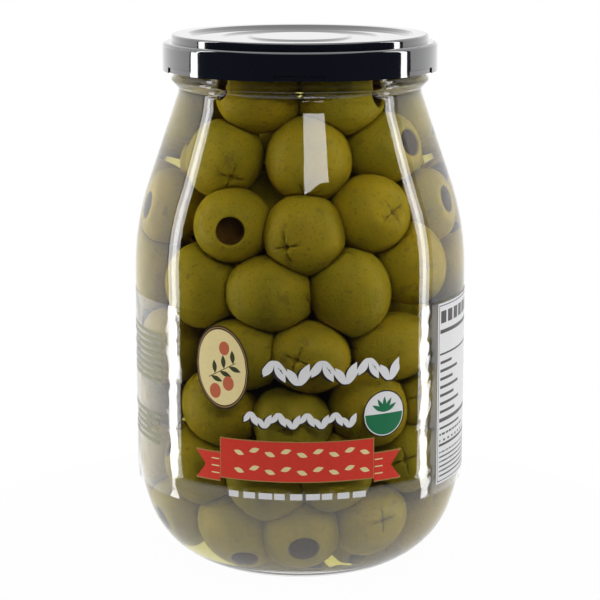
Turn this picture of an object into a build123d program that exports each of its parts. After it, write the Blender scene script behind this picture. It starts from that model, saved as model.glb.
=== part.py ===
"""Glass grocery jar of pitted green olives in brine, shut with a lug cap and wrapped in a clear film label.

Frame: millimetres, +Z up, origin at the centre of the ring that the jar stands on, -Y towards the
middle of the label. Everything but the cap's lugs and the glass threads is turned about Z.
"""

from build123d import *
import math
import os

# Glass body
BODY_RADIUS = 52.0
WALL = 2.5
BASE_THICKNESS = 4.6
FOOT_RADIUS = 34.0  # outer edge of the ring that the jar stands on
FOOT_WIDTH = 4.5
PUSH_UP = 3.2  # how far the underside is domed up inside the foot
HEEL_RADIUS = 27.5  # lower, tighter part of the rounded heel
HEEL_BLEND_RADIUS = 62.0  # upper, slacker part, up to the straight wall
HEEL_BLEND_ANGLE = 20.0
DOME_SHARE = 0.78  # height of the dome halfway out, as a share of its middle
STRAIGHT_TOP = 91.5  # height at which the straight wall ends
SHOULDER_RADIUS = 87.0
SHOULDER_ANGLE = 19.0  # lean of the cone above the shoulder's arc

# Glass neck and finish
NECK_RADIUS = 37.8
NECK_LENGTH = 1.6
BEAD_RADIUS = 40.0
BEAD_FLANK = 2.0  # height of the sloping flank under the bead
BEAD_BAND = 1.0
BEAD_ROUND = 0.45
FINISH_RADIUS = 39.2
FINISH_RAMP = 1.0  # height over which the bead falls back to the finish
RIM_ROUND = 1.0  # on both edges of the rim
THREAD_COUNT = 6
THREAD_RADIUS = 40.9
THREAD_HEIGHT = 1.6
THREAD_ARC = 34.0  # degrees that each thread runs round the finish
THREAD_ROOT = 0.6  # how far a thread is sunk into the finish
THREAD_CHAMFER = 0.4

# Lug cap
CAP_RADIUS = 42.7
CAP_GAUGE = 0.35
CAP_BOTTOM_GAP = 2.3  # from the top of the bead to the cap's curl
CAP_SKIRT = 8.6
CAP_SHOULDER = 1.2
CURL_RADIUS = 0.85
RING_OUTER = 39.9  # raised ring over the glass rim
RING_HEIGHT = 2.4
RING_ROUND = 0.8
PANEL_DROP = 0.9
BUTTON_STEP_RADIUS = 23.0
BUTTON_RADIUS = 15.0
BUTTON_STEP = 0.5
STEP_RUN = 1.4
LUG_COUNT = 6
LUG_ARC = 20.0
LUG_HEIGHT = 1.0
LUG_DENT = 0.4  # how far the curl is pressed in over each lug
LUG_REACH = 0.35  # overlap of a lug with the threads, seen from above

# Contents and label
FILL_BELOW_CAP_TOP = 8.4  # from the cap's highest point down to the brine
LABEL_BOTTOM = 26.0
LABEL_TOP = 86.0
LABEL_FILM = 0.12

# Clearances
SEAT = 0.05  # between pieces that rest on each other
RUNNING = 0.10  # between the lugs and the threads

# Worked out from the sizes above
BLEND = math.radians(HEEL_BLEND_ANGLE)
HEEL_CENTRE_X = BODY_RADIUS - HEEL_BLEND_RADIUS * (1 - math.cos(BLEND)) - HEEL_RADIUS * math.cos(BLEND)
FOOT_ANGLE = math.asin((FOOT_RADIUS - HEEL_CENTRE_X) / HEEL_RADIUS)
HEEL_CENTRE_Z = HEEL_RADIUS * math.cos(FOOT_ANGLE)
STRAIGHT_BOTTOM = (
    HEEL_CENTRE_Z - HEEL_RADIUS * math.sin(BLEND) + HEEL_BLEND_RADIUS * math.sin(BLEND)
)
MOUTH_RADIUS = NECK_RADIUS - WALL
RING_INNER = MOUTH_RADIUS - SEAT - CAP_GAUGE
LEAN = math.radians(SHOULDER_ANGLE)
SHOULDER_TOP = STRAIGHT_TOP + SHOULDER_RADIUS * math.sin(LEAN)
SHOULDER_TOP_RADIUS = BODY_RADIUS - SHOULDER_RADIUS * (1 - math.cos(LEAN))
NECK_BOTTOM = SHOULDER_TOP + (SHOULDER_TOP_RADIUS - NECK_RADIUS) / math.tan(LEAN)
BEAD_BOTTOM = NECK_BOTTOM + NECK_LENGTH + BEAD_FLANK
BEAD_TOP = BEAD_BOTTOM + BEAD_BAND
CAP_BOTTOM = BEAD_TOP + CAP_BOTTOM_GAP
CAP_SKIRT_TOP = CAP_BOTTOM + CAP_SKIRT
CAP_TOP = CAP_SKIRT_TOP + RING_HEIGHT
RIM_TOP = CAP_TOP - CAP_GAUGE - SEAT
FILL_LEVEL = CAP_TOP - FILL_BELOW_CAP_TOP
PANEL_TOP = CAP_TOP - PANEL_DROP
LUG_BOTTOM = CAP_BOTTOM + CAP_GAUGE
LUG_TOP = LUG_BOTTOM + LUG_HEIGHT
LUG_INNER = THREAD_RADIUS - LUG_REACH
THREAD_BOTTOM = LUG_TOP + RUNNING


def around_z(degrees):
    """The upright half-section plane that faces the label's middle at 0, turned about Z."""
    return Plane.XZ.rotated((0, 0, degrees - 90))


def side_outline(inset, low_angle):
    """The vessel's side as tangent curves, moved inwards by inset: heel, straight wall, shoulder and cone.

    It starts low on the heel, where the curve's slope is low_angle, and it ends at the neck.
    """
    heel = CenterArc(
        (HEEL_CENTRE_X, HEEL_CENTRE_Z),
        HEEL_RADIUS - inset,
        -90 + math.degrees(low_angle),
        90 - HEEL_BLEND_ANGLE - math.degrees(low_angle),
    )
    blend = CenterArc(
        (BODY_RADIUS - HEEL_BLEND_RADIUS, STRAIGHT_BOTTOM),
        HEEL_BLEND_RADIUS - inset,
        -HEEL_BLEND_ANGLE,
        HEEL_BLEND_ANGLE,
    )
    Line(blend @ 1, (BODY_RADIUS - inset, STRAIGHT_TOP))
    shoulder = CenterArc(
        (BODY_RADIUS - SHOULDER_RADIUS, STRAIGHT_TOP), SHOULDER_RADIUS - inset, 0, SHOULDER_ANGLE
    )
    throat = NECK_RADIUS - inset
    rise = ((shoulder @ 1).X - throat) / math.tan(LEAN)
    cone = Line(shoulder @ 1, (throat, (shoulder @ 1).Y + rise))
    return heel, cone


def outer_section():
    """Half section of the glass with its inside filled, as a face on the XZ plane."""
    foot_inner = FOOT_RADIUS - FOOT_WIDTH
    with BuildSketch(Plane.XZ) as section:
        with BuildLine():
            heel, cone = side_outline(0, FOOT_ANGLE)
            Polyline(
                cone @ 1,
                (NECK_RADIUS, NECK_BOTTOM + NECK_LENGTH),
                (BEAD_RADIUS, BEAD_BOTTOM),
                (BEAD_RADIUS, BEAD_TOP),
                (FINISH_RADIUS, BEAD_TOP + FINISH_RAMP),
                (FINISH_RADIUS, RIM_TOP),
                (0, RIM_TOP),
                (0, PUSH_UP),
            )
            ThreePointArc((0, PUSH_UP), (foot_inner / 2, PUSH_UP * DOME_SHARE), (foot_inner, 0))
            Line((foot_inner, 0), heel @ 0)
        make_face()
        rim = section.vertices().group_by(Axis.Y)[-1].sort_by(Axis.X)[-1]
        fillet(rim, RIM_ROUND)
        bead = section.vertices().filter_by_position(Axis.X, BEAD_RADIUS - SEAT, BEAD_RADIUS + SEAT)
        fillet(bead, BEAD_ROUND)
    return section.sketch


def inner_section(inset, top):
    """Half section of the vessel's inside, inset from the outer surface, from the floor up to top."""
    floor = BASE_THICKNESS + inset - WALL
    low_angle = math.acos((HEEL_CENTRE_Z - floor) / (HEEL_RADIUS - inset))
    with BuildSketch(Plane.XZ) as section:
        with BuildLine():
            heel, cone = side_outline(inset, low_angle)
            Polyline(cone @ 1, (NECK_RADIUS - inset, top), (0, top), (0, floor + PUSH_UP))
            half = (heel @ 0).X / 2
            ThreePointArc((0, floor + PUSH_UP), (half, floor + PUSH_UP * DOME_SHARE), heel @ 0)
        make_face()
    return section.sketch


def make_jar():
    """The glass: body, push-up base, neck, bead and finish with its thread ramps."""
    with BuildPart() as jar:
        add(outer_section())
        revolve(axis=Axis.Z)
        for turn in range(THREAD_COUNT):
            with BuildSketch(around_z(turn * 360 / THREAD_COUNT - THREAD_ARC / 2)) as ramp:
                with Locations((FINISH_RADIUS - THREAD_ROOT, THREAD_BOTTOM)):
                    Rectangle(
                        THREAD_RADIUS - FINISH_RADIUS + THREAD_ROOT,
                        THREAD_HEIGHT,
                        align=(Align.MIN, Align.MIN),
                    )
                chamfer(ramp.vertices().group_by(Axis.X)[-1], THREAD_CHAMFER)
            revolve(axis=Axis.Z, revolution_arc=THREAD_ARC)
        add(inner_section(WALL, RIM_TOP))
        revolve(axis=Axis.Z, mode=Mode.SUBTRACT)
        mouth = jar.edges().group_by(Axis.Z)[-1].sort_by(SortBy.RADIUS)[0]
        fillet(mouth, RIM_ROUND)
    jar.part.label = "jar_glass"
    export_step(jar.part, "parts/jar_glass.step")


def cap_outline(inset):
    """The cap's pressed outline from the skirt's edge up to the axis, moved inwards by inset."""
    ring_out, ring_in = RING_OUTER - inset, RING_INNER + inset
    skirt_top, panel = CAP_SKIRT_TOP - inset, PANEL_TOP - inset
    return [
        (CAP_RADIUS - inset, CAP_BOTTOM),
        (CAP_RADIUS - inset, skirt_top),
        (ring_out, skirt_top),
        (ring_out, CAP_TOP - inset),
        (ring_in, CAP_TOP - inset),
        (ring_in - STEP_RUN, panel),
        (BUTTON_STEP_RADIUS + STEP_RUN, panel),
        (BUTTON_STEP_RADIUS, panel - BUTTON_STEP),
        (BUTTON_RADIUS + STEP_RUN, panel - BUTTON_STEP),
        (BUTTON_RADIUS, panel),
        (0, panel),
    ]


def make_cap():
    """The lug cap: pressed shell, curled edge and lugs bent inwards under the thread ramps."""
    with BuildPart() as cap:
        with BuildSketch(Plane.XZ) as shell:
            with BuildLine():
                Polyline(*cap_outline(0), *reversed(cap_outline(CAP_GAUGE)), close=True)
            make_face()
            fillet(shell.vertices().group_by(Axis.Y)[-1], RING_ROUND)
            for inset in (0, CAP_GAUGE):
                wall = CAP_RADIUS - inset
                corner = shell.vertices().filter_by_position(Axis.X, wall - SEAT, wall + SEAT)
                fillet(corner.sort_by(Axis.Y)[-1], CAP_SHOULDER - inset)
            with Locations((CAP_RADIUS - CURL_RADIUS, CAP_BOTTOM + CURL_RADIUS)):
                Circle(CURL_RADIUS)
        revolve(axis=Axis.Z)
        for turn in range(LUG_COUNT):
            plane = around_z(turn * 360 / LUG_COUNT - LUG_ARC / 2)
            with BuildSketch(plane):
                with Locations((LUG_INNER, LUG_BOTTOM)):
                    Rectangle(
                        CAP_RADIUS - CAP_GAUGE - LUG_INNER, LUG_HEIGHT, align=(Align.MIN, Align.MIN)
                    )
            revolve(axis=Axis.Z, revolution_arc=LUG_ARC)
            with BuildSketch(plane):
                with Locations((CAP_RADIUS - LUG_DENT, CAP_BOTTOM)):
                    Rectangle(2 * LUG_DENT, 2 * CURL_RADIUS, align=(Align.MIN, Align.MIN))
            revolve(axis=Axis.Z, revolution_arc=LUG_ARC, mode=Mode.SUBTRACT)
    cap.part.label = "cap"
    export_step(cap.part, "parts/cap.step")


def make_contents():
    """Brine with the olives sunk in it, as one solid up to the fill level."""
    with BuildPart() as contents:
        add(inner_section(WALL + SEAT, FILL_LEVEL))
        revolve(axis=Axis.Z)
    contents.part.label = "olives_in_brine"
    export_step(contents.part, "parts/olives_in_brine.step")


def make_label():
    """The clear film, wrapped round the straight wall and standing free of the heel's curve below it."""
    with BuildPart() as label:
        with BuildSketch(Plane.XZ):
            with Locations((BODY_RADIUS + SEAT, LABEL_BOTTOM)):
                Rectangle(LABEL_FILM, LABEL_TOP - LABEL_BOTTOM, align=(Align.MIN, Align.MIN))
        revolve(axis=Axis.Z)
    label.part.label = "label_film"
    export_step(label.part, "parts/label_film.step")


def main():
    os.makedirs("parts", exist_ok=True)
    make_jar()
    make_cap()
    make_contents()
    make_label()


main()
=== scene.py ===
"""A glass jar of pitted green olives: glass, brine, olives, cap, film label with its print, and stage."""

import math

import bpy
import numpy as np
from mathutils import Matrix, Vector


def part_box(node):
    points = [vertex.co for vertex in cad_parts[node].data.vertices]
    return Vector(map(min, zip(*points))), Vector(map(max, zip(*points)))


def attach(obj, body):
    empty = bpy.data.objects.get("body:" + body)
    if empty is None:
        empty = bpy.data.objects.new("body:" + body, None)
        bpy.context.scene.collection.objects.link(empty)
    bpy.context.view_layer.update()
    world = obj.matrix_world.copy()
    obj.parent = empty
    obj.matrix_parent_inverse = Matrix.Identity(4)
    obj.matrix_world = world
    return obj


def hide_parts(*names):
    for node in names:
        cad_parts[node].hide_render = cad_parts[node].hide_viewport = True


bl_info = {
    "name": "Jar of Olives",
    "version": (1, 0, 0),
    "blender": (4, 5, 0),
    "location": "View3D > Sidebar > Olive Jar",
    "description": "Models the glass, brine, olives, film label and stage of an olive jar",
    "category": "Object",
}

MM = 0.001
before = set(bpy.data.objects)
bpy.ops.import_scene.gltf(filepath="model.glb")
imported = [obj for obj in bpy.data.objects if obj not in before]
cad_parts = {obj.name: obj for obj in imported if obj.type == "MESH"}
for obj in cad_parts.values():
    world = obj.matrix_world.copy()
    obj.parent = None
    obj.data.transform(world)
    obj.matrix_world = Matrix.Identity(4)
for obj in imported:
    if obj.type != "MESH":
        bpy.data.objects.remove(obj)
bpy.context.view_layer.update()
GLASS_LOW, GLASS_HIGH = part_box("jar_glass")
FILM_LOW, FILM_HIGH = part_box("label_film")
FILL_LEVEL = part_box("olives_in_brine")[1].z
BODY_RADIUS = GLASS_HIGH.x
RIM_TOP = GLASS_HIGH.z


class JarSizes(bpy.types.PropertyGroup):
    wall: bpy.props.FloatProperty(
        name="Wall", description="Thickness of the glass", default=2.5 * MM, unit="LENGTH")
    foot_radius: bpy.props.FloatProperty(
        name="Foot", description="Outer edge of the ring the jar stands on", default=34 * MM, unit="LENGTH")
    neck_radius: bpy.props.FloatProperty(
        name="Neck", description="Outer radius of the neck", default=37.8 * MM, unit="LENGTH")
    turns: bpy.props.IntProperty(
        name="Steps", description="Steps round the glass", default=144, min=24)


class OliveSizes(bpy.types.PropertyGroup):
    half_width: bpy.props.FloatProperty(
        name="Half width", description="Half the width of a usual olive", default=10.7 * MM, unit="LENGTH")
    plump: bpy.props.FloatProperty(
        name="Plump", description="Size of the olives at the front over their usual size", default=1.06)
    stretch: bpy.props.FloatProperty(
        name="Stretch", description="Length of a usual olive over its width", default=1.1)
    count: bpy.props.IntProperty(
        name="Count", description="Olives in the jar", default=98, min=40)
    skin: bpy.props.FloatVectorProperty(
        name="Skin", description="Usual colour of the skin", default=(0.48, 0.35, 0.018), subtype="COLOR")


class PrintColours(bpy.types.PropertyGroup):
    red: bpy.props.FloatVectorProperty(
        name="Ribbon", description="Colour of the ribbon", default=(0.62, 0.03, 0.012), subtype="COLOR")
    white: bpy.props.FloatVectorProperty(
        name="White", description="Colour of the white ink", default=(0.72, 0.72, 0.73), subtype="COLOR")
    gold: bpy.props.FloatVectorProperty(
        name="Gold", description="Colour of the thin edges", default=(0.45, 0.27, 0.08), subtype="COLOR")
    green: bpy.props.FloatVectorProperty(
        name="Green", description="Colour of the seal's lower half", default=(0.01, 0.17, 0.07),
        subtype="COLOR")
    dark: bpy.props.FloatVectorProperty(
        name="Dark", description="Colour of edges and rules", default=(0.03, 0.022, 0.018), subtype="COLOR")
    cream: bpy.props.FloatVectorProperty(
        name="Cream", description="Colour of the oval's field", default=(0.75, 0.62, 0.30), subtype="COLOR")
    leaf: bpy.props.FloatVectorProperty(
        name="Leaf", description="Colour of the sprig", default=(0.05, 0.06, 0.02), subtype="COLOR")
    fruit: bpy.props.FloatVectorProperty(
        name="Fruit", description="Colour of the sprig's fruit", default=(0.50, 0.12, 0.05), subtype="COLOR")
    faint: bpy.props.FloatVectorProperty(
        name="Faint", description="Colour of the faint bars", default=(0.27, 0.27, 0.17), subtype="COLOR")


# Outputs of nodes, by number
OBJECT_COORDINATES, ATTRIBUTE_VALUE, MIXED_COLOUR = 3, 2, 2
CAMERA_RAY, SHADOW_RAY, GLOSSY_RAY, TRANSMISSION_RAY = 0, 1, 3, 6


class Link:
    """A shader socket that takes part in Python sums, adding a Math node for each."""

    def __init__(self, tree, socket):
        self.tree, self.socket = tree, socket

    def _math(self, operation, *values):
        return add_node(self.tree, "ShaderNodeMath", {"operation": operation}, dict(enumerate(values)))

    def __add__(self, other):
        return self._math("ADD", self, other)

    def __sub__(self, other):
        return self._math("SUBTRACT", self, other)

    def __rsub__(self, other):
        return self._math("SUBTRACT", other, self)

    def __mul__(self, other):
        return self._math("MULTIPLY", self, other)

    def __gt__(self, other):
        return self._math("GREATER_THAN", self, other)

    def larger(self, other):
        return self._math("MAXIMUM", self, other)

    __radd__, __rmul__ = __add__, __mul__


def add_node(tree, kind, settings=None, values=None, output=0):
    """Adds a node, applies its settings, fills its sockets with values or links, and gives its output."""
    node = tree.nodes.new(kind)
    for name, value in (settings or {}).items():
        setattr(node, name, value)
    for key, value in (values or {}).items():
        if isinstance(value, Link):
            tree.links.new(value.socket, node.inputs[key])
        else:
            node.inputs[key].default_value = value
    return Link(tree, node.outputs[output])


def new_material(name):
    material = bpy.data.materials.new(name)
    material.use_nodes = True
    material.node_tree.nodes.clear()
    return material, material.node_tree


def to_surface(tree, shader, volume=None):
    out = tree.nodes.new("ShaderNodeOutputMaterial")
    tree.links.new(shader.socket, out.inputs["Surface"])
    if volume:
        tree.links.new(volume.socket, out.inputs["Volume"])


def blend_colours(tree, factor, first, second):
    return add_node(
        tree, "ShaderNodeMix", {"data_type": "RGBA"}, {0: factor, 6: first, 7: second}, output=MIXED_COLOUR)


def noise(tree, scale, detail):
    """Noise on the piece's own place, so that it stays with the piece."""
    place = add_node(tree, "ShaderNodeTexCoord", output=OBJECT_COORDINATES)
    return add_node(tree, "ShaderNodeTexNoise", {}, {"Vector": place, "Scale": scale, "Detail": detail})


def point_value(tree, name):
    """A value that is stored on the mesh's points."""
    return add_node(tree, "ShaderNodeAttribute", {"attribute_name": name}, output=ATTRIBUTE_VALUE)


def bump(tree, height, strength, distance):
    return add_node(
        tree, "ShaderNodeBump", {}, {"Height": height, "Strength": strength, "Distance": distance})


GLASS_BEND, BRINE_BEND, FILM_BEND = 1.5, 1.34, 1.45
BRINE_TINT = ((0.80, 0.76, 0.18, 1), 34.0)
FILM_ROUGHNESS, FILM_RIPPLE = 0.02, 0.3
RIPPLE_SCALE, RIPPLE_DISTANCE = 90.0, 1 * MM


def clear_material(name, ior, roughness, absorb=None, ripple=0.0):
    """A clear material that bends light but lets the lamps reach what lies behind it."""
    material, tree = new_material(name)
    values = {"Base Color": (1, 1, 1, 1), "Transmission Weight": 1.0, "IOR": ior, "Roughness": roughness}
    if ripple:
        values["Normal"] = bump(tree, noise(tree, RIPPLE_SCALE, 2.0), ripple, RIPPLE_DISTANCE)
    body = add_node(tree, "ShaderNodeBsdfPrincipled", {}, values)
    shadow = add_node(tree, "ShaderNodeLightPath", output=SHADOW_RAY)
    open_way = add_node(tree, "ShaderNodeBsdfTransparent")
    mixed = add_node(tree, "ShaderNodeMixShader", {}, {0: shadow, 1: body, 2: open_way})
    volume = None
    if absorb:
        colour, density = absorb
        volume = add_node(tree, "ShaderNodeVolumeAbsorption", {}, {"Color": colour, "Density": density})
    to_surface(tree, mixed, volume)
    return material


GREEN_OVER_SKIN = (0.66, 0.78, 1.1)  # the greener patches' colour over the skin's
SPECK_COLOUR = (0.16, 0.10, 0.02, 1)
BRUISE_COLOUR = (0.20, 0.11, 0.03, 1)
# flesh colour darkened to paint the shade in the pit holes and cuts
FLESH_AND_SHADE_COLOUR = (0.13, 0.065, 0.012, 1)
CLOUD_SCALE, BRUISE_SCALE, SPECK_SCALE = 110.0, 170.0, 1100.0
CLOUD_GAIN, CLOUD_START, CLOUD_SHARE, SHADE_SHARE = 3.0, 1.2, 0.6, 0.5
SPECK_START, SPECK_SHARE = 0.63, 0.4
BRUISE_START, BRUISE_SHARE = 0.66, 0.35
FLESH_GRAIN, GRAIN_STRENGTH, GRAIN_DISTANCE = 6, 0.5, 0.4 * MM


def olive_material(skin):
    """Waxy skin, mottled and speckled, with dark brown in the pit holes and cuts: partly the flesh's colour,
    partly painted shade.
    """
    material, tree = new_material("olive skin")
    shade = point_value(tree, "shade")
    flesh_and_shade = point_value(tree, "flesh_and_shade")
    cloud = noise(tree, CLOUD_SCALE, 4.0)
    speck = noise(tree, SPECK_SCALE, 2.0)
    bruise = noise(tree, BRUISE_SCALE, 5.0)
    yellow = (*skin, 1)
    green = (*(part * share for part, share in zip(skin, GREEN_OVER_SKIN)), 1)
    greener = (cloud * CLOUD_GAIN - CLOUD_START) * CLOUD_SHARE + shade * SHADE_SHARE
    colour = blend_colours(tree, greener, yellow, green)
    colour = blend_colours(tree, (speck > SPECK_START) * SPECK_SHARE, colour, SPECK_COLOUR)
    colour = blend_colours(tree, (bruise > BRUISE_START) * BRUISE_SHARE, colour, BRUISE_COLOUR)
    # painted shade: the pit holes and cuts take the flesh's brown, darkened as shade
    colour = blend_colours(tree, flesh_and_shade, colour, FLESH_AND_SHADE_COLOUR)
    grain = bump(tree, speck + flesh_and_shade * cloud * FLESH_GRAIN, GRAIN_STRENGTH, GRAIN_DISTANCE)
    body = add_node(
        tree, "ShaderNodeBsdfPrincipled", {},
        {"Base Color": colour, "Roughness": cloud * 0.3 + 0.22, "Normal": grain, "IOR": 1.18,
         "Subsurface Weight": 0.12, "Subsurface Radius": (0.6, 0.5, 0.1), "Subsurface Scale": 0.004})
    to_surface(tree, body)
    return material


def cap_material():
    """Black lacquer on pressed steel, with faint scuffs."""
    material, tree = new_material("black lacquer")
    scuff = noise(tree, 60.0, 6.0)
    body = add_node(
        tree, "ShaderNodeBsdfPrincipled", {},
        {"Base Color": (0.006, 0.007, 0.012, 1), "Roughness": scuff * 0.08 + 0.03, "Coat Weight": 1.0,
         "Coat Roughness": 0.03, "Coat IOR": 1.75, "IOR": 1.75, "Normal": bump(tree, scuff, 0.1, 0.4 * MM)})
    to_surface(tree, body)
    return material


DARKER_INK = 0.86  # darkest colour of an uneven ink over its own


def ink_material(name, colour, metallic=0.0):
    """Printed ink with a faint unevenness."""
    material, tree = new_material(name)
    grain = noise(tree, 900.0, 2.0)
    dark = tuple(part * DARKER_INK for part in colour)
    ink = blend_colours(tree, grain, (*dark, 1), (*colour, 1))
    body = add_node(
        tree, "ShaderNodeBsdfPrincipled", {},
        {"Base Color": ink, "Roughness": grain * 0.2 + 0.25, "Metallic": metallic})
    to_surface(tree, body)
    return material


def arc(centre_r, centre_z, radius, start, end, steps):
    """Points along an arc in the half section, in millimetres and degrees."""
    turns = [math.radians(start + (end - start) * i / steps) for i in range(steps + 1)]
    return [(centre_r + radius * math.cos(t), centre_z + radius * math.sin(t)) for t in turns]


# The vessel, in millimetres and degrees
HEEL_RADIUS, HEEL_BLEND_RADIUS, HEEL_BLEND_ANGLE = 27.5, 62.0, 20.0
SHOULDER_RADIUS, SHOULDER_ANGLE, STRAIGHT_TOP = 87.0, 19.0, 91.5
PUSH_UP, BASE_THICKNESS, FOOT_WIDTH = 3.2, 4.6, 4.5
BEAD_RADIUS, FINISH_RADIUS, RIM_ROUND = 40.0, 39.2, 1.0
NECK_FLARE = ((0.0, 1.0), (0.15, 1.6))  # out from the neck, up from the neck's start
BEAD_CURVE = ((0.6, 3.1), (0.15, 3.6), (0.0, 4.1), (0.15, 4.6), (0.7, 5.2))  # in from the bead, and up
DOME_STEPS, HEEL_STEPS, BLEND_STEPS, WALL_STEPS, SHOULDER_STEPS, CONE_STEPS = 8, 22, 12, 12, 16, 8
RIM_STEPS = 4
BRINE_REACH = 0.15  # how far the brine goes into the glass, so that no air shows between them


def side(sizes, inset):
    """The vessel's side from the foot to the neck, moved inwards by inset, in millimetres."""
    radius, neck, foot = BODY_RADIUS / MM, sizes.neck_radius / MM, sizes.foot_radius / MM
    blend = math.radians(HEEL_BLEND_ANGLE)
    heel_r = radius - HEEL_BLEND_RADIUS * (1 - math.cos(blend)) - HEEL_RADIUS * math.cos(blend)
    foot_angle = math.asin((foot - heel_r) / HEEL_RADIUS)
    heel_z = HEEL_RADIUS * math.cos(foot_angle)
    straight = heel_z - HEEL_RADIUS * math.sin(blend) + HEEL_BLEND_RADIUS * math.sin(blend)
    low = foot_angle
    if inset > 0:
        low = math.acos((heel_z - BASE_THICKNESS) / (HEEL_RADIUS - inset))
    points = arc(heel_r, heel_z, HEEL_RADIUS - inset, math.degrees(low) - 90, -HEEL_BLEND_ANGLE, HEEL_STEPS)
    blend_r, blend_radius = radius - HEEL_BLEND_RADIUS, HEEL_BLEND_RADIUS - inset
    points += arc(blend_r, straight, blend_radius, -HEEL_BLEND_ANGLE, 0, BLEND_STEPS)[1:]
    tall = STRAIGHT_TOP - straight
    points += [(radius - inset, straight + tall * i / WALL_STEPS) for i in range(1, WALL_STEPS)]
    shoulder_r, shoulder_radius = radius - SHOULDER_RADIUS, SHOULDER_RADIUS - inset
    points += arc(shoulder_r, STRAIGHT_TOP, shoulder_radius, 0, SHOULDER_ANGLE, SHOULDER_STEPS)
    last_r, last_z = points[-1]
    run = neck - inset - last_r
    rise = -run / math.tan(math.radians(SHOULDER_ANGLE))
    shares = [i / CONE_STEPS for i in range(1, CONE_STEPS + 1)]
    return points + [(last_r + run * share, last_z + rise * share) for share in shares]


def dome(radius, rim_z):
    """The domed underside or floor from the axis out to just short of its rim, in millimetres."""
    shares = [i / DOME_STEPS for i in range(DOME_STEPS)]
    return [(radius * share, rim_z + PUSH_UP * (1 - share**2)) for share in shares]


def glass_outline(sizes):
    """Closed half section of the glass from the underside's middle to the floor's middle, in millimetres."""
    neck, wall, rim = sizes.neck_radius / MM, sizes.wall / MM, RIM_TOP / MM
    outer = side(sizes, 0)
    top = outer[-1][1]
    foot_inner = sizes.foot_radius / MM - FOOT_WIDTH
    bead = [(neck + out, top + up) for out, up in NECK_FLARE]
    bead += [(BEAD_RADIUS - back, top + up) for back, up in BEAD_CURVE]
    rim_round = arc(FINISH_RADIUS - RIM_ROUND, rim - RIM_ROUND, RIM_ROUND, 0, 90, RIM_STEPS)
    rim_round += arc(neck - wall + RIM_ROUND, rim - RIM_ROUND, RIM_ROUND, 90, 180, RIM_STEPS)
    inner = side(sizes, wall)[::-1]
    floor = dome(inner[-1][0], BASE_THICKNESS)[::-1]
    return dome(foot_inner, 0) + [(foot_inner, 0)] + outer + bead + rim_round + inner + floor


def brine_outline(sizes):
    """Closed half section of the brine, reaching a little into the glass all round."""
    sides = side(sizes, sizes.wall / MM - BRINE_REACH)
    top = FILL_LEVEL / MM
    return dome(*sides[0]) + sides + [(sides[-1][0], top), (0, top)]


def empty_selection():
    bpy.ops.object.select_all(action="DESELECT")


MERGE_DISTANCE = 0.002 * MM
SMOOTH_ANGLE = math.radians(50)


def lathe(name, outline, steps):
    """Extrudes one point along an outline in millimetres and spins the line about Z into a closed mesh."""
    empty_selection()
    bpy.ops.mesh.primitive_plane_add(size=MM)
    piece = bpy.context.object
    piece.name = name
    bpy.ops.object.mode_set(mode="EDIT")
    bpy.ops.mesh.select_mode(type="VERT")
    bpy.ops.mesh.select_all(action="SELECT")
    bpy.ops.mesh.merge(type="CENTER")
    bpy.ops.transform.translate(value=(outline[0][0] * MM, 0, outline[0][1] * MM))
    for (r, z), (next_r, next_z) in zip(outline, outline[1:]):
        step = ((next_r - r) * MM, 0, (next_z - z) * MM)
        bpy.ops.mesh.extrude_vertices_move(TRANSFORM_OT_translate={"value": step})
    bpy.ops.mesh.select_all(action="SELECT")
    bpy.ops.mesh.spin(steps=steps, angle=2 * math.pi, center=(0, 0, 0), axis=(0, 0, 1))
    bpy.ops.mesh.select_all(action="SELECT")
    bpy.ops.mesh.remove_doubles(threshold=MERGE_DISTANCE)
    bpy.ops.mesh.normals_make_consistent(inside=False)
    bpy.ops.object.mode_set(mode="OBJECT")
    bpy.ops.object.shade_smooth_by_angle(angle=SMOOTH_ANGLE)
    return piece


def finish_piece(piece, slot, material, *replaced):
    piece.data.materials.clear()
    piece.data.materials.append(material)
    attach(piece, "root")
    if replaced:
        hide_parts(*replaced)


class JAR_OT_glass(bpy.types.Operator):
    """Spins the glass: domed underside, heel, wall, shoulder, neck, bead and rim"""

    bl_idname = "olivejar.glass"
    bl_label = "Glass"

    def execute(self, context):
        sizes = context.scene.jar_sizes
        glass = lathe("glass_vessel", glass_outline(sizes), sizes.turns)
        finish_piece(glass, "glass", clear_material("clear glass", GLASS_BEND, 0.0), "jar_glass")
        return {"FINISHED"}


class JAR_OT_brine(bpy.types.Operator):
    """Spins the brine up to its level, reaching just into the glass"""

    bl_idname = "olivejar.brine"
    bl_label = "Brine"

    def execute(self, context):
        sizes = context.scene.jar_sizes
        brine = lathe("brine", brine_outline(sizes), sizes.turns)
        clear = clear_material("brine", BRINE_BEND, 0.0, absorb=BRINE_TINT)
        finish_piece(brine, "olives", clear, "olives_in_brine")
        return {"FINISHED"}
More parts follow.
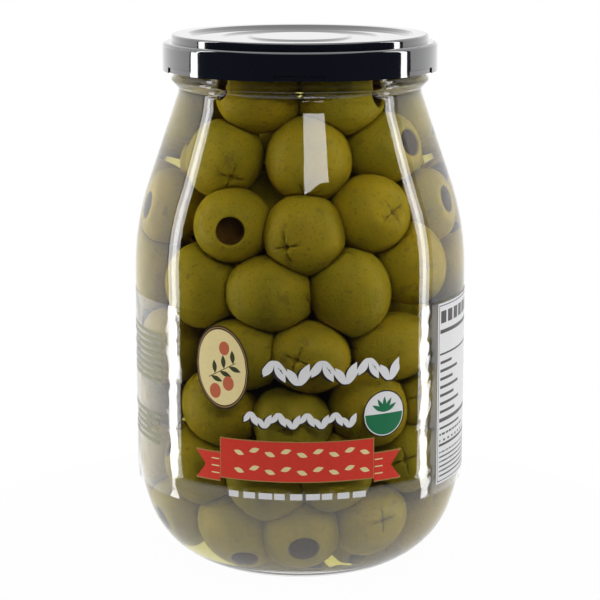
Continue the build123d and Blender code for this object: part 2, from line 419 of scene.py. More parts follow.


# Olives against the front and side glass: bearing and height of the middle, half width, half length, the way
# the named end points (right, up, front), and that end. Bearings and heights are rounded results of a separate
# tracing program, some changed by hand since. The sizes, ways and ends were chosen.
PLACED = [
    (-29, 147, 11.2, 12.0, (-0.9, 0.3, 0.2), "hole"), (28, 147, 11.2, 12.0, (0.9, 0.2, 0.2), "hole"),
    (-97, 140, 10.4, 11.6, (0, 1, 0), "cut"), (91, 140, 10.4, 11.6, (0, -1, 0), "hole"),
    (-44, 128, 11.0, 11.6, (0.12, -0.35, 0.93), "cut"), (5, 129, 11.7, 12.6, (-0.05, -0.72, 0.7), "cut"),
    (51, 131, 10.5, 12.0, (0.62, 0.22, 0.35), "hole"), (-77, 111, 10.4, 11.8, (-0.9, 0.1, 0.2), "hole"),
    (-31, 110, 10.5, 10.8, (-0.12, 0.05, 0.98), "hole"), (2, 108, 10.9, 11.6, (-0.40, -0.12, 0.90), "cut"),
    (34, 113, 10.8, 11.8, (0.62, 0.12, 0.70), "cut"), (72, 112, 10.4, 11.8, (0.8, 0.3, 0.3), "hole"),
    (-45, 91, 10.7, 12.2, (-0.1, 1, 0), "cut"), (-13, 91, 10.3, 12.3, (0.94, -0.15, 0.3), "cut"),
    (22, 91, 11.4, 13.0, (-0.15, 0.95, 0.2), "cut"), (53, 97, 10.6, 12.0, (-0.3, 0.7, 0.5), "cut"),
    (-83, 92, 10.5, 12.0, (0, 0.9, -0.3), "hole"), (94, 92, 10.5, 12.0, (0, 0.9, 0.2), "hole"),
    (-67, 70, 10.7, 11.8, (0.6, 0.6, -0.2), "hole"), (-25, 72, 10.6, 12.0, (0.95, 0.0, 0.3), "cut"),
    (4, 72, 10.8, 11.6, (-0.25, 0.1, 0.95), "cut"), (42, 73, 10.5, 12.2, (-0.93, 0.05, 0.35), "cut"),
    (-36, 54, 10.7, 12.0, (0.5, -0.8, 0), "hole"), (-3, 51, 10.7, 11.8, (0.3, -0.9, 0.4), "cut"),
    (30, 55, 10.7, 12.0, (-0.4, 0.9, 0), "hole"), (60, 54, 10.6, 11.8, (0.1, 0.2, 0.9), "cut"),
    (-46, 35, 10.7, 12.0, (-0.8, 0.5, 0), "hole"), (-13, 33, 10.8, 12.0, (-0.7, 0.7, 0), "hole"),
    (14, 36, 10.6, 11.6, (-0.5, -0.7, 0.6), "cut"), (51, 38, 10.7, 11.8, (0.05, 0.1, 0.99), "cut"),
    (-65, 20, 10.6, 11.8, (-0.8, -0.4, 0.2), "hole"), (-31, 17, 10.8, 11.8, (0.1, -0.75, 0.6), "hole"),
    (0, 17, 10.8, 11.6, (0.05, -0.35, 0.93), "hole"), (33, 20, 10.8, 12.0, (0.45, 0.1, 0.85), "cut"),
    (73, 18, 10.7, 11.8, (0.6, -0.6, 0.2), "hole"), (-86, 51, 10.6, 11.8, (0, 1, 0), "hole"),
    (85, 72, 10.6, 11.8, (0.3, 0.9, 0), "hole"), (-78, 33, 10.6, 11.8, (0.2, 0.9, 0), "cut"),
]

# The blank olive, whose half width is 1
BLANK_SEGMENTS, BLANK_RINGS = 40, 28
HOLE_ANGLE = 24.0  # half angle that the pit hole's mouth takes, seen from the olive's middle
LIP_WIDTH, LIP_DROP = 0.035, 0.025
HOLE_RINGS = ((0.10, 0.97), (0.22, 0.95), (0.35, 0.8))  # drop and narrowing of each ring down the hole
HOLE_START, HOLE_FLATTEN = 0.9, 0.6
HOLE_FLESH_AND_SHADE = 0.93  # points of the hole's half that lie nearer the middle than this are flesh and painted shade
CUT_ANGLE, CUT_HALF_WIDTH, CUT_HEART = 23.0, 2.0, 4  # degrees
# the second value: how strongly the cut takes the flesh colour and painted shade
CUT_DEPTH, CUT_FLESH_AND_SHADE = 0.17, 1.3

# Packing the olives, in millimetres
SEED = 7
FRONT_ROW, FRONT_LINE = 21.0, -6  # in front of the line, the loose olives stay this near the axis
FRONT_PULL = 0.9
WALL_ROOM = 1.02
LOOSE_REACH, LOOSE_BACK, LOOSE_LOW, LOOSE_HIGH = 34, 3, 16, 146
SETTLE_ROUNDS, PUSH_SHARE, LISTED_SHARE, HOME_PULL = 500, 0.22, 0.15, 0.5
UNDER_BRINE = 0.85  # depth of an olive's middle under the brine's top, over its radius
APART_FROM_ITSELF = 1e3
TINY, TINY_SQUARE = 1e-6, 1e-9

# Shaping each olive, in millimetres or as shares of its size
UNEVEN_WIDTH, TAPER, BEND = 0.05, 0.045, 0.012
NEIGHBOUR_REACH, PRESSED_GAP = 4, 0.04
WALL_GAP, FLOOR_GAP, TOP_GAP = 0.08, 0.2, 0.3
LOOSE_WIDTHS, LOOSE_LENGTHS = (0.96, 1.04), (0.95, 1.08)
LAYERS = (("olives_low", 55), ("olives_middle", 105), ("olives_high", math.inf))  # up to this height


def olive_blank():
    """A round olive of unit half width with a pit hole at +Z and a crossed cut at -Z."""
    empty_selection()
    bpy.ops.mesh.primitive_uv_sphere_add(segments=BLANK_SEGMENTS, ring_count=BLANK_RINGS, radius=1)
    blank = bpy.context.object
    mouth = math.cos(math.radians(HOLE_ANGLE))
    bpy.ops.object.mode_set(mode="EDIT")
    bpy.ops.mesh.select_mode(type="FACE")
    bpy.ops.mesh.select_all(action="DESELECT")
    bpy.ops.object.mode_set(mode="OBJECT")
    for polygon in blank.data.polygons:
        polygon.select = polygon.center.normalized().z > mouth
    bpy.ops.object.mode_set(mode="EDIT")
    bpy.ops.mesh.inset(thickness=LIP_WIDTH, depth=-LIP_DROP)
    for drop, width in HOLE_RINGS:
        bpy.ops.mesh.extrude_region_move(TRANSFORM_OT_translate={"value": (0, 0, -drop)})
        middle = (0, 0, HOLE_START - drop)
        bpy.ops.transform.resize(value=(width, width, HOLE_FLATTEN), center_override=middle)
    bpy.ops.object.mode_set(mode="OBJECT")
    points = np.array([v.co for v in blank.data.vertices])
    faces = [tuple(p.vertices) for p in blank.data.polygons]
    bpy.data.objects.remove(blank)
    size = np.linalg.norm(points, axis=1)
    across = np.hypot(points[:, 0], points[:, 1])
    inside = (size < HOLE_FLESH_AND_SHADE) & (points[:, 2] > 0)
    polar = np.degrees(np.arctan2(across, -points[:, 2]))
    turn = np.degrees(np.arctan2(points[:, 1], points[:, 0]))
    on_cut = np.minimum(turn % 90, 90 - turn % 90) < CUT_HALF_WIDTH
    cut = np.where((polar < CUT_ANGLE) & (on_cut | (polar < CUT_HEART)), 1 - (polar / CUT_ANGLE) ** 2, 0)
    points = points * (1 - CUT_DEPTH * cut)[:, None]
    # the third value marks the flesh and painted shade in the hole and along the cut
    return points, faces, np.clip(inside * 1.0 + cut * CUT_FLESH_AND_SHADE, 0, 1)


def seat_in_vessel(centres, radii, wall_line):
    """Moves each olive's middle inwards until it clears the vessel's wall, floor and the brine's top."""
    flat = np.hypot(centres[:, 0], centres[:, 1])
    here = np.c_[flat, centres[:, 2]]
    start, run = wall_line[:-1], wall_line[1:] - wall_line[:-1]
    squares = np.maximum((run**2).sum(1), TINY_SQUARE)
    along = np.einsum("nij,ij->ni", here[:, None] - start[None], run) / squares
    near = start[None] + np.clip(along, 0, 1)[..., None] * run[None]
    away = here[:, None] - near
    gap = np.linalg.norm(away, axis=2)
    best = gap.argmin(1)
    rows = np.arange(len(here))
    offset, distance = away[rows, best], gap[rows, best]
    normal = np.c_[-run[best][:, 1], run[best][:, 0]]
    normal /= np.linalg.norm(normal, axis=1)[:, None]
    signed = (offset * normal).sum(1)
    push = np.clip(radii - np.where(signed > 0, distance, -distance), 0, None)
    moved = here + normal * push[:, None]
    scale = moved[:, 0] / np.maximum(flat, TINY)
    centres[:, 0] *= scale
    centres[:, 1] *= scale
    centres[:, 2] = np.clip(moved[:, 1], None, FILL_LEVEL / MM - UNDER_BRINE * radii)


def pack_olives(sizes, olives, rng):
    """Settles the olives by pushing apart those that overlap. The listed ones move little."""
    sides = side(sizes, sizes.wall / MM)
    wall_line = np.array([(0, BASE_THICKNESS + PUSH_UP)] + sides + [(sides[-1][0], FILL_LEVEL / MM)])
    placed = len(PLACED)
    centres, radii = np.zeros((olives.count, 3)), np.full(olives.count, olives.half_width / MM)
    for i, (bearing, height, wide, length, _, _) in enumerate(PLACED):
        turn = math.radians(bearing)
        radii[i] = (wide * wide * length) ** (1 / 3)
        reach = np.interp(height, wall_line[1:, 1], wall_line[1:, 0]) - radii[i] * WALL_ROOM
        centres[i] = (reach * math.sin(turn), -reach * math.cos(turn), height)
    loose = olives.count - placed
    turns = rng.uniform(0, 2 * math.pi, loose)
    reach = LOOSE_REACH * np.sqrt(rng.uniform(0, 1, loose))
    heights = rng.uniform(LOOSE_LOW, LOOSE_HIGH, loose)
    centres[placed:] = np.c_[reach * np.cos(turns), reach * np.sin(turns) + LOOSE_BACK, heights]
    seat_in_vessel(centres, radii, wall_line)
    home = centres[:placed].copy()
    for _ in range(SETTLE_ROUNDS):
        apart = centres[:, None] - centres[None]
        distance = np.linalg.norm(apart, axis=2) + np.eye(len(centres)) * APART_FROM_ITSELF
        overlap = np.clip(radii[:, None] + radii[None] - distance, 0, None)
        move = (apart / distance[..., None] * overlap[..., None]).sum(1) * PUSH_SHARE
        move[:placed] *= LISTED_SHARE
        centres += move
        centres[:placed] += (home - centres[:placed]) * HOME_PULL
        crowding = np.hypot(centres[:, 0], centres[:, 1]) > FRONT_ROW
        crowding &= (centres[:, 1] < FRONT_LINE) & (np.arange(len(centres)) >= placed)
        centres[crowding, :2] *= FRONT_PULL
        seat_in_vessel(centres, radii, wall_line)
    return centres, radii, wall_line


def end_axes(lean):
    """The unit vectors of an olive whose named end leans (right, up, front)."""
    tip = Vector((lean[0], -lean[2], lean[1])).normalized()
    across = tip.orthogonal().normalized()
    return np.array([across, tip.cross(across), tip])


def shape_olive(points, index, centres, radii, wall_line, wide, length, axes, flip, rng):
    """Points of one olive: stretched, made uneven, turned, set in place and flattened where it touches."""
    shape = points * np.array([wide, wide, length])
    widths = 1 - UNEVEN_WIDTH * rng.uniform(-1, 1, 2)
    shape[:, :2] *= widths - TAPER * (shape[:, 2:3] / length) * rng.uniform(-1, 1)
    bend = rng.uniform(-BEND, BEND, 2)
    shape[:, :2] += bend * shape[:, 2:3] ** 2 * 0.5
    if flip:
        shape = shape * np.array([1, -1, -1])
    spin = rng.uniform(0, math.pi)
    turned = np.array([[math.cos(spin), -math.sin(spin), 0], [math.sin(spin), math.cos(spin), 0], [0, 0, 1]])
    shape = shape @ turned.T @ axes
    apart = centres - centres[index]
    distance = np.linalg.norm(apart, axis=1)
    for other in np.flatnonzero((distance > 0) & (distance < radii + radii[index] + NEIGHBOUR_REACH)):
        way = apart[other] / distance[other]
        face = distance[other] * radii[index] / (radii[index] + radii[other]) - PRESSED_GAP
        shape -= np.clip(shape @ way - face, 0, None)[:, None] * way
    placed = shape + centres[index]
    placed[:, 2] = np.clip(placed[:, 2], wall_line[1, 1] + FLOOR_GAP, FILL_LEVEL / MM - TOP_GAP)
    flat = np.hypot(placed[:, 0], placed[:, 1])
    limit = np.interp(placed[:, 2], wall_line[1:, 1], wall_line[1:, 0]) - WALL_GAP
    placed[:, :2] *= np.minimum(1, limit / np.maximum(flat, TINY))[:, None]
    floor = BASE_THICKNESS + PUSH_UP * (1 - np.clip(flat / wall_line[1, 0], 0, 1) ** 2) + FLOOR_GAP
    placed[:, 2] = np.maximum(placed[:, 2], floor)
    return placed


def joined_olives(name, group, points, faces, flesh_and_shade):
    """One mesh of several olives, with each point's flesh and painted shade mark and each olive's shade as
    attributes.
    """
    count = len(points)
    corners = np.concatenate([np.array(p) for p, _ in group]) * MM
    all_faces = [tuple(i + k * count for i in face) for k in range(len(group)) for face in faces]
    mesh = bpy.data.meshes.new(name)
    mesh.from_pydata(corners.tolist(), [], all_faces)
    shades = np.repeat([shade for _, shade in group], count)
    for attribute, values in (("flesh_and_shade", np.tile(flesh_and_shade, len(group))), ("shade", shades)):
        stored = mesh.attributes.new(attribute, "FLOAT", "POINT")
        stored.data.foreach_set("value", values.astype(np.float32))
    piece = bpy.data.objects.new(name, mesh)
    bpy.context.scene.collection.objects.link(piece)
    for polygon in mesh.polygons:
        polygon.use_smooth = True
    return piece


class JAR_OT_olives(bpy.types.Operator):
    """Packs the olives, flattens them where they touch, and joins them in three layers"""

    bl_idname = "olivejar.olives"
    bl_label = "Olives"

    def execute(self, context):
        sizes, olives = context.scene.jar_sizes, context.scene.jar_olives
        rng = np.random.default_rng(SEED)
        points, faces, flesh_and_shade = olive_blank()
        centres, radii, wall_line = pack_olives(sizes, olives, rng)
        layers = {name: [] for name, _ in LAYERS}
        for index in range(olives.count):
            if index < len(PLACED):
                _, _, wide, length, lean, end = PLACED[index]
                wide, length = wide * olives.plump, length * olives.plump
            else:
                lean = rng.normal(size=3)
                end = rng.choice(["hole", "cut"])
                wide = olives.half_width / MM * rng.uniform(*LOOSE_WIDTHS)
                length = wide * olives.stretch * rng.uniform(*LOOSE_LENGTHS)
            placed = shape_olive(
                points, index, centres, radii, wall_line, wide, length, end_axes(lean), end == "cut", rng)
            layer = next(name for name, top in LAYERS if centres[index, 2] < top)
            layers[layer].append((placed, rng.uniform(0, 1)))
        material = olive_material(tuple(olives.skin))
        for name, group in layers.items():
            finish_piece(joined_olives(name, group, points, faces, flesh_and_shade), "olives", material)
        return {"FINISHED"}


class JAR_OT_cap(bpy.types.Operator):
    """Lacquers the pressed steel cap"""

    bl_idname = "olivejar.cap"
    bl_label = "Cap"

    def execute(self, context):
        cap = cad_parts["cap"]
        cap.data.materials.clear()
        cap.data.materials.append(cap_material())
        return {"FINISHED"}


# How far the film's faces and the first ink lie inside the film's outermost radius, in millimetres
FILM_INNER_INSET, FILM_OUTER_INSET, FILM_ROWS = 0.11, 0.06, 10
INK_INSET, INK_LAYER = 0.05, 0.012


class JAR_OT_film(bpy.types.Operator):
    """Spins the clear film that is wrapped round the wall"""

    bl_idname = "olivejar.film"
    bl_label = "Film"

    def execute(self, context):
        inner, outer = FILM_HIGH.x / MM - FILM_INNER_INSET, FILM_HIGH.x / MM - FILM_OUTER_INSET
        low, high = FILM_LOW.z / MM, FILM_HIGH.z / MM
        rows = [low + (high - low) * i / FILM_ROWS for i in range(FILM_ROWS + 1)]
        outline = [(outer, z) for z in rows] + [(inner, z) for z in rows[::-1]] + [(outer, low)]
        film = lathe("film", outline, context.scene.jar_sizes.turns)
        clear = clear_material("clear film", FILM_BEND, FILM_ROUGHNESS, ripple=FILM_RIPPLE)
        finish_piece(film, "label", clear, "label_film")
        return {"FINISHED"}


class Ink:
    """Collects curved patches of one ink, placed by arc length and height in millimetres."""

    def __init__(self, layer):
        self.radius = FILM_HIGH.x / MM - INK_INSET + INK_LAYER * layer
        self.points, self.faces = [], []

    def _point(self, s, z):
        turn = s / (BODY_RADIUS / MM)
        self.points.append((self.radius * math.sin(turn), -self.radius * math.cos(turn), z))

    def _faces_from(self, start, steps):
        """Faces between the pairs of points that were added from start on."""
        self.faces += [(i, i + 2, i + 3, i + 1) for i in range(start, start + 2 * steps, 2)]

    def strip(self, left, right, top, bottom, steps=24):
        """A patch between two curves given as functions of arc length, or as heights."""
        top = top if callable(top) else (lambda s, height=top: height)
        bottom = bottom if callable(bottom) else (lambda s, height=bottom: height)
        start = len(self.points)
        for i in range(steps + 1):
            s = left + (right - left) * i / steps
            self._point(s, bottom(s))
            self._point(s, top(s))
        self._faces_from(start, steps)

    def oval(self, s, z, half_width, half_height, lean=0.0, share=(-1, 1)):
        """An oval, or the part of it between two shares of its height."""
        low, high = share

        def edge(sign, limit):
            def height(at):
                x = max(-1.0, min(1.0, (at - s) / half_width))
                rise = sign * math.sqrt(1 - x * x)
                rise = min(rise, limit) if sign > 0 else max(rise, limit)
                return z + half_height * rise + lean * (at - s)
            return height

        self.strip(s - half_width, s + half_width, edge(1, high), edge(-1, low), 40)

    def leaf(self, s, z, length, width, angle, steps=8):
        """A pointed leaf from (s, z) along an angle in degrees."""
        turn, start = math.radians(angle), len(self.points)
        for i in range(steps + 1):
            t = i / steps
            half = width / 2 * math.sin(math.pi * t)
            for sign in (-1, 1):
                ds = length * t * math.cos(turn) - sign * half * math.sin(turn)
                dz = length * t * math.sin(turn) + sign * half * math.cos(turn)
                self._point(s + ds, z + dz)
        self._faces_from(start, steps)

    def bars(self, rows, top, pitch, thick, left, right, steps):
        """Rows of bars. left and right give a row's ends from its number."""
        for row in range(rows):
            z = top - pitch * row
            self.strip(left(row), right(row), z, z - thick, steps)

    def make(self, name, material):
        mesh = bpy.data.meshes.new(name)
        mesh.from_pydata((np.array(self.points) * MM).tolist(), [], self.faces)
        piece = bpy.data.objects.new(name, mesh)
        bpy.context.scene.collection.objects.link(piece)
        finish_piece(piece, "label", material)


# Each piece of print: its layer over the film, and its ink
PRINT_PIECES = (
    ("print_white", 2, "white ink"), ("print_dark", 1, "dark ink"), ("print_ribbon", 2, "red ink"),
    ("print_gold", 1, "gold ink"), ("print_rules", 3, "dark ink"), ("print_cream", 3, "cream ink"),
    ("print_seal", 4, "green ink"), ("print_oval_ring", 2, "gold ink"), ("print_oval_edge", 3, "dark ink"),
    ("print_oval_field", 4, "cream ink"), ("print_sprig", 5, "leaf ink"), ("print_fruit", 5, "rust ink"),
    ("print_faint", 2, "faint ink"),
)
GOLD_METALLIC = 0.3

# Scrolls: ink, left end, right end, middle height, swing, half thickness and waves
SCROLLS = (
    ("print_dark", -11.6, 31.4, 69.1, 3.4, 1.15, 3), ("print_white", -11.2, 31.6, 69.4, 3.4, 0.85, 3),
    ("print_dark", -17.3, 16.7, 54.5, 2.2, 0.85, 4), ("print_white", -17.0, 17.0, 54.8, 2.2, 0.6, 4),
)
SCROLL_THINNEST, SCROLL_STEPS = 0.35, 120
SCROLL_LEAVES = ((2.1, 3.2, 62), (1.7, 2.8, 125))  # length over swing, width over thickness, angle

# Ribbon with its folded tails, along the film and up, in millimetres
RIBBON_LEFT, RIBBON_RIGHT, RIBBON_TOP, RIBBON_BOTTOM, RIBBON_EDGE = -24.6, 22.6, 48.2, 36.1, 0.3
TAILS = ((-33.2, -24.8, 1), (32.0, 22.8, -1))  # outer end, inner end, and the sign of the way inwards
TAIL_TOP, TAIL_MIDDLE, TAIL_BOTTOM, TAIL_EDGE = 43.5, 39.3, 35.0, 0.35
NOTCH_DEPTH, NOTCH_HALF = 3.2, 4.2
STITCH_ROWS, STITCH_HALF, STITCH_START, STITCH_END = (37.2, 39.4, 41.6), 0.18, 0.3, 3.0
RIBBON_LEAVES, RIBBON_LEAF_START, RIBBON_LEAF_PITCH, RIBBON_LEAF_ROWS = 9, -20.2, 4.8, (44.9, 39.4)
RIBBON_LEAF_LENGTH, RIBBON_LEAF_WIDTH, RIBBON_LEAF_ANGLE = 3.4, 1.5, 18

# Oval with a sprig
OVAL_MIDDLE, OVAL_LEAN = (-24.2, 69.9), -0.09
OVAL_FIELDS = (  # piece, half width and half height, from the outside in
    ("print_dark", 8.95, 12.7), ("print_oval_ring", 8.5, 12.2),
    ("print_oval_edge", 8.25, 11.9), ("print_oval_field", 8.0, 11.5),
)
STEM_LEFT, STEM_RIGHT, STEM_BASE, STEM_SLOPE, STEM_WIDTH = -28.5, -19.5, 66.5, 0.55, 0.25
STEM_LEAVES, STEM_LEAF_START, STEM_LEAF_PITCH, STEM_LEAF_RISE = 6, -27.8, 1.5, 0.2
STEM_LEAF_LENGTH, STEM_LEAF_WIDTH, STEM_LEAF_ANGLES = 4.2, 1.5, (-20, 95)
FRUITS = ((-26.3, 62.6, 1.9, 2.3), (-21.9, 65.2, 1.8, 2.2), (-23.2, 75.8, 1.7, 2.1))

# Round seal, and the row of small bars under the ribbon
SEAL_MIDDLE, SEAL_DARK, SEAL_WHITE, SEAL_GREEN = (26.3, 55.5), 7.2, 6.8, 6.5
SEAL_LEAF_RISE, SEAL_LEAF_LENGTH, SEAL_LEAF_WIDTH, SEAL_LEAF_ANGLES = 0.5, 4.8, 1.3, (30, 60, 90, 120, 150)
ROW_BARS, ROW_START, ROW_PITCH, ROW_WIDTH, ROW_MORE, ROW_TOP, ROW_BOTTOM = 9, -22, 4.75, 3.2, 0.5, 32.3, 30.4

# White panel, in millimetres: its field and its rules are given as left, right, top and bottom
PANEL_FIELD = (48.6, 87.0, 85.7, 28.7)
PANEL_RULES = (
    (49.2, 86.4, 85.1, 84.8), (49.2, 86.4, 29.6, 29.3), (50, 86, 77.4, 76.2),
    (50, 86, 70.0, 69.4), (50, 86, 49.4, 48.2), (50, 86, 41.3, 40.5),
)
PANEL_SIDES, PANEL_INSIDE_TOP, PANEL_INSIDE_BOTTOM = ((49.2, 49.45), (86.15, 86.4)), 85.1, 29.3
TEXT_LEFT, TEXT_RIGHT = 50.3, 85.6
HEADING_BLOCKS, HEADING_PITCH, HEADING_WIDTH, HEADING_TOP, HEADING_BOTTOM = 6, 4.4, 3.3, 83.2, 79.4


def scroll(ink, left, right, middle, swing, thick, waves):
    """A flowing band that swells and thins, with leaves that curl off it."""
    def turn(s):
        return (s - left) / (right - left) * waves * 2 * math.pi

    def centre(s):
        return middle + swing * math.sin(turn(s))

    def half(s):
        return thick * (SCROLL_THINNEST + (1 - SCROLL_THINNEST) * abs(math.cos(turn(s))))

    ink.strip(left, right, lambda s: centre(s) + half(s), lambda s: centre(s) - half(s), SCROLL_STEPS)
    for k in range(2 * waves):
        s = left + (k + 0.5) * (right - left) / (2 * waves)
        up = 1 if k % 2 else -1
        for length, width, angle in SCROLL_LEAVES:
            ink.leaf(s, centre(s), swing * length, thick * width, up * angle)


def print_ribbon(gold, red, cream):
    """The ribbon with a thin gold edge, notched tails with stitches, and two rows of leaves."""
    for ink, grow in ((gold, RIBBON_EDGE), (red, 0.0)):
        ink.strip(RIBBON_LEFT - grow, RIBBON_RIGHT + grow, RIBBON_TOP + grow, RIBBON_BOTTOM - grow)
    for end, inner, inwards in TAILS:
        notch = end + inwards * NOTCH_DEPTH

        def spread(s, end=end, notch=notch):
            return NOTCH_HALF * min(1.0, abs(s - notch) / abs(end - notch))

        for ink, grow in ((gold, TAIL_EDGE), (red, 0.0)):
            left, right = sorted((end - inwards * grow, notch))
            ink.strip(left, right, TAIL_TOP + grow, lambda s: TAIL_MIDDLE + spread(s), 4)
            ink.strip(left, right, lambda s: TAIL_MIDDLE - spread(s), TAIL_BOTTOM - grow, 4)
            left, right = sorted((notch, inner))
            ink.strip(left, right, TAIL_TOP + grow, TAIL_BOTTOM - grow, 8)
        for row in STITCH_ROWS:
            left, right = sorted((inner - inwards * STITCH_START, inner - inwards * STITCH_END))
            cream.strip(left, right, row + STITCH_HALF, row - STITCH_HALF, 2)
    for k in range(RIBBON_LEAVES):
        s = RIBBON_LEAF_START + RIBBON_LEAF_PITCH * k
        angle = RIBBON_LEAF_ANGLE if k % 2 else -RIBBON_LEAF_ANGLE
        for z in RIBBON_LEAF_ROWS:
            cream.leaf(s, z, RIBBON_LEAF_LENGTH, RIBBON_LEAF_WIDTH, angle)


def print_oval(inks):
    """The oval's edges and field, and on it a sprig of leaves with three fruits."""
    for name, half_width, half_height in OVAL_FIELDS:
        inks[name].oval(*OVAL_MIDDLE, half_width, half_height, OVAL_LEAN)
    sprig, fruit = inks["print_sprig"], inks["print_fruit"]

    def stem(s):
        return STEM_BASE + STEM_SLOPE * (s - STEM_LEFT)

    sprig.strip(STEM_LEFT, STEM_RIGHT, lambda s: stem(s) + STEM_WIDTH, stem, 12)
    for k in range(STEM_LEAVES):
        s = STEM_LEAF_START + STEM_LEAF_PITCH * k
        angle = STEM_LEAF_ANGLES[k % 2]
        sprig.leaf(s, stem(s) + STEM_LEAF_RISE, STEM_LEAF_LENGTH, STEM_LEAF_WIDTH, angle)
    for place_and_size in FRUITS:
        fruit.oval(*place_and_size)


def print_seal(dark, white, green):
    """The round seal: a pale disc in a dark edge, with a green lower half and a fan of leaves."""
    s, z = SEAL_MIDDLE
    dark.oval(s, z, SEAL_DARK, SEAL_DARK)
    white.oval(s, z, SEAL_WHITE, SEAL_WHITE)
    green.oval(s, z, SEAL_GREEN, SEAL_GREEN, share=(-1, 0))
    for angle in SEAL_LEAF_ANGLES:
        green.leaf(s, z + SEAL_LEAF_RISE, SEAL_LEAF_LENGTH, SEAL_LEAF_WIDTH, angle)


def print_row(white):
    """The row of small bars under the ribbon."""
    for k in range(ROW_BARS):
        start = ROW_START + ROW_PITCH * k
        white.strip(start, start + ROW_WIDTH + ROW_MORE * (k % 3), ROW_TOP, ROW_BOTTOM, 3)


def print_panel(white, dark):
    """The white panel with its rules, heading blocks and rows of bars of uneven length."""
    white.strip(*PANEL_FIELD, 40)
    for rule in PANEL_RULES:
        dark.strip(*rule, 24)
    for left, right in PANEL_SIDES:
        dark.strip(left, right, PANEL_INSIDE_TOP, PANEL_INSIDE_BOTTOM, 1)
    for k in range(HEADING_BLOCKS):
        left = TEXT_LEFT + HEADING_PITCH * k
        dark.strip(left, left + HEADING_WIDTH, HEADING_TOP, HEADING_BOTTOM, 3)
    dark.bars(7, 67.5, 2.6, 0.9, lambda row: TEXT_LEFT, lambda row: 58 + (row * 5) % 9, 8)
    dark.bars(7, 67.5, 2.6, 0.9, lambda row: 78 - row % 3, lambda row: TEXT_RIGHT, 6)
    dark.bars(3, 46.6, 2.0, 0.7, lambda row: TEXT_LEFT, lambda row: 66 + row * 4, 8)
    dark.bars(6, 38.8, 1.5, 0.5, lambda row: TEXT_LEFT, lambda row: 80 - (row * 4) % 7, 12)


def print_faint_blocks(faint):
    """Two blocks of faint bars at the left, and a small oval between them."""
    faint.bars(8, 76.2, 2.1, 1.1, lambda row: -83 + (row * 5) % 11, lambda row: -49, 16)
    faint.bars(5, 50.5, 2.1, 1.1, lambda row: -78 + (row * 7) % 9, lambda row: -50 - row % 3, 16)
    faint.oval(-58.5, 47.0, 2.3, 2.9)


class JAR_OT_print(bpy.types.Operator):
    """Prints the film: scrolls, ribbon, oval, seal, bars and the white panel"""

    bl_idname = "olivejar.print"
    bl_label = "Print"

    def execute(self, context):
        inks = {name: Ink(layer) for name, layer, _ in PRINT_PIECES}
        white, dark, green = inks["print_white"], inks["print_dark"], inks["print_seal"]
        for name, *sizes in SCROLLS:
            scroll(inks[name], *sizes)
        print_ribbon(inks["print_gold"], inks["print_ribbon"], inks["print_cream"])
        print_oval(inks)
        print_seal(dark, white, green)
        print_row(white)
        print_panel(white, inks["print_rules"])
        print_faint_blocks(inks["print_faint"])
        colours = context.scene.jar_print
        materials = {
            "white ink": ink_material("white ink", tuple(colours.white)),
            "dark ink": ink_material("dark ink", tuple(colours.dark)),
            "gold ink": ink_material("gold ink", tuple(colours.gold), GOLD_METALLIC),
            "cream ink": ink_material("cream ink", tuple(colours.cream)),
            "green ink": ink_material("green ink", tuple(colours.green)),
            "leaf ink": ink_material("leaf ink", tuple(colours.leaf)),
            "rust ink": ink_material("rust ink", tuple(colours.fruit)),
            "faint ink": ink_material("faint ink", tuple(colours.faint)),
            "red ink": ink_material("red ink", tuple(colours.red)),
        }
        for name, _, ink_name in PRINT_PIECES:
            inks[name].make(name, materials[ink_name])
        return {"FINISHED"}


# Stage, in metres, watts and degrees
WHITE_STRENGTH, SOFT_STRENGTH = 1.0, 0.68
FLOOR_RADIUS, FLOOR_GREY, FLOOR_GLOW = 0.12, 0.9, 0.97
CARD_RADIUS, CARD_HEIGHT, CARD_MIDDLE, CARD_CUT = 1.0, 3.0, 0.3, 0.2
STRIP_DISTANCE, STRIP_MIDDLE, STRIP_HEIGHT = 0.34, 0.16, 0.62
STRIPS = (("strip_left", -92, 0.045, 0.55), ("strip_right", 90, 0.04, 0.5))  # name, bearing, width, power
KEY_PLACE, KEY_TARGET, KEY_WIDTH, KEY_HEIGHT, KEY_POWER = (0.19, -0.78, 0.62), (0, 0, 0.08), 0.30, 0.13, 0.8
CAMERA_DISTANCE, CAMERA_HEIGHT, CAMERA_ELEVATION = 652.7 * MM, 80.6 * MM, math.radians(11.84)
CAMERA_LENS, CAMERA_SENSOR = 123.0, 36.0


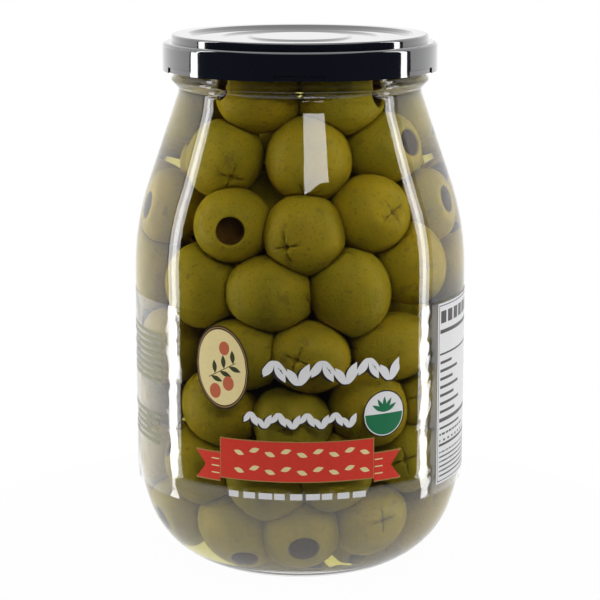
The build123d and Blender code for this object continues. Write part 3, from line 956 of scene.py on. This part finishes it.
class JAR_OT_stage(bpy.types.Operator):
    """Sets the floor, the dark card, the strip lights, the plain white world and the camera"""

    bl_idname = "olivejar.stage"
    bl_label = "Stage"

    def seen(self, tree):
        """1 for the rays that look at the background: from the camera, a mirror or through glass."""
        camera = add_node(tree, "ShaderNodeLightPath", output=CAMERA_RAY)
        glossy = add_node(tree, "ShaderNodeLightPath", output=GLOSSY_RAY)
        through = add_node(tree, "ShaderNodeLightPath", output=TRANSMISSION_RAY)
        return camera.larger(glossy).larger(through)

    def set_world(self, scene):
        world = bpy.data.worlds.new("studio")
        scene.world = world
        world.use_nodes = True
        tree = world.node_tree
        tree.nodes.clear()
        colour = (1, 1, 1, 1)
        white = add_node(tree, "ShaderNodeBackground", {}, {"Color": colour, "Strength": WHITE_STRENGTH})
        soft = add_node(tree, "ShaderNodeBackground", {}, {"Color": colour, "Strength": SOFT_STRENGTH})
        mixed = add_node(tree, "ShaderNodeMixShader", {}, {0: self.seen(tree), 1: soft, 2: white})
        out = tree.nodes.new("ShaderNodeOutputWorld")
        tree.links.new(mixed.socket, out.inputs["Surface"])

    def make_floor(self):
        empty_selection()
        bpy.ops.mesh.primitive_circle_add(vertices=96, radius=FLOOR_RADIUS, fill_type="NGON")
        floor = bpy.context.object
        floor.name = "floor"
        material, tree = new_material("white table")
        grey = (FLOOR_GREY, FLOOR_GREY, FLOOR_GREY, 1)
        paper = add_node(tree, "ShaderNodeBsdfDiffuse", {}, {"Color": grey})
        glow = add_node(tree, "ShaderNodeEmission", {}, {"Color": (1, 1, 1, 1), "Strength": WHITE_STRENGTH})
        lit = self.seen(tree) * FLOOR_GLOW
        to_surface(tree, add_node(tree, "ShaderNodeMixShader", {}, {0: lit, 1: paper, 2: glow}))
        floor.data.materials.append(material)
        return floor

    def make_card(self):
        """A dark card round the front and sides, which only mirrored rays and rays through glass meet."""
        bpy.ops.mesh.primitive_cylinder_add(
            vertices=64, radius=CARD_RADIUS, depth=CARD_HEIGHT, end_fill_type="NOTHING",
            location=(0, 0, CARD_MIDDLE))
        bpy.ops.object.mode_set(mode="EDIT")
        bpy.ops.mesh.select_all(action="SELECT")
        bpy.ops.mesh.bisect(plane_co=(0, CARD_CUT, 0), plane_no=(0, 1, 0), clear_outer=True)
        bpy.ops.object.mode_set(mode="OBJECT")
        card = bpy.context.object
        card.name = "dark_card"
        card.visible_camera = card.visible_diffuse = card.visible_shadow = False
        material, tree = new_material("dark card")
        to_surface(tree, add_node(tree, "ShaderNodeBsdfDiffuse", {}, {"Color": (0.01, 0.01, 0.012, 1)}))
        card.data.materials.append(material)
        return card

    def area_lamp(self, name, width, height, power):
        light = bpy.data.lights.new(name, "AREA")
        light.shape, light.size, light.size_y, light.energy = "RECTANGLE", width, height, power
        lamp = bpy.data.objects.new(name, light)
        bpy.context.scene.collection.objects.link(lamp)
        return lamp

    def set_lamps(self):
        for name, bearing, width, power in STRIPS:
            strip = self.area_lamp(name, width, STRIP_HEIGHT, power)
            turn = math.radians(bearing)
            strip.location = (STRIP_DISTANCE * math.sin(turn), -STRIP_DISTANCE * math.cos(turn), STRIP_MIDDLE)
            strip.rotation_euler = (math.radians(90), 0, turn)
        key = self.area_lamp("key", KEY_WIDTH, KEY_HEIGHT, KEY_POWER)
        key.location = KEY_PLACE
        way = Vector(KEY_TARGET) - Vector(KEY_PLACE)
        key.rotation_euler = way.to_track_quat("-Z", "Y").to_euler()
        key.visible_glossy = False

    def set_camera(self, scene):
        camera = bpy.data.cameras.new("camera")
        camera.lens, camera.sensor_width = CAMERA_LENS, CAMERA_SENSOR
        view = bpy.data.objects.new("camera", camera)
        back = CAMERA_DISTANCE * math.cos(CAMERA_ELEVATION)
        view.location = (0, -back, CAMERA_HEIGHT + CAMERA_DISTANCE * math.sin(CAMERA_ELEVATION))
        view.rotation_euler = (math.radians(90) - CAMERA_ELEVATION, 0, 0)
        scene.collection.objects.link(view)
        scene.camera = view

    def execute(self, context):
        scene = context.scene
        self.set_world(scene)
        floor = self.make_floor()
        card = self.make_card()
        self.set_lamps()
        self.set_camera(scene)
        scene.view_settings.view_transform = "Standard"
        return {"FINISHED"}


class JAR_PT_panel(bpy.types.Panel):
    """Lists the jar's operators"""

    bl_idname = "JAR_PT_panel"
    bl_label = "Olive Jar"
    bl_space_type = "VIEW_3D"
    bl_region_type = "UI"
    bl_category = "Olive Jar"

    def draw(self, context):
        for operator in OPERATORS:
            self.layout.operator(operator.bl_idname)
        for group in (context.scene.jar_sizes, context.scene.jar_olives, context.scene.jar_print):
            for name in group.bl_rna.properties.keys():
                if name not in ("rna_type", "name"):
                    self.layout.prop(group, name)


OPERATORS = (JAR_OT_glass, JAR_OT_brine, JAR_OT_olives, JAR_OT_cap, JAR_OT_film, JAR_OT_print, JAR_OT_stage)
CLASSES = (JarSizes, OliveSizes, PrintColours, *OPERATORS, JAR_PT_panel)


def register():
    for item in CLASSES:
        bpy.utils.register_class(item)
    bpy.types.Scene.jar_sizes = bpy.props.PointerProperty(type=JarSizes)
    bpy.types.Scene.jar_olives = bpy.props.PointerProperty(type=OliveSizes)
    bpy.types.Scene.jar_print = bpy.props.PointerProperty(type=PrintColours)


def unregister():
    del bpy.types.Scene.jar_print
    del bpy.types.Scene.jar_olives
    del bpy.types.Scene.jar_sizes
    for item in reversed(CLASSES):
        bpy.utils.unregister_class(item)


def main():
    register()
    bpy.ops.olivejar.glass()
    bpy.ops.olivejar.brine()
    bpy.ops.olivejar.olives()
    bpy.ops.olivejar.cap()
    bpy.ops.olivejar.film()
    bpy.ops.olivejar.print()
    bpy.ops.olivejar.stage()


if __name__ == "__main__":
    main()
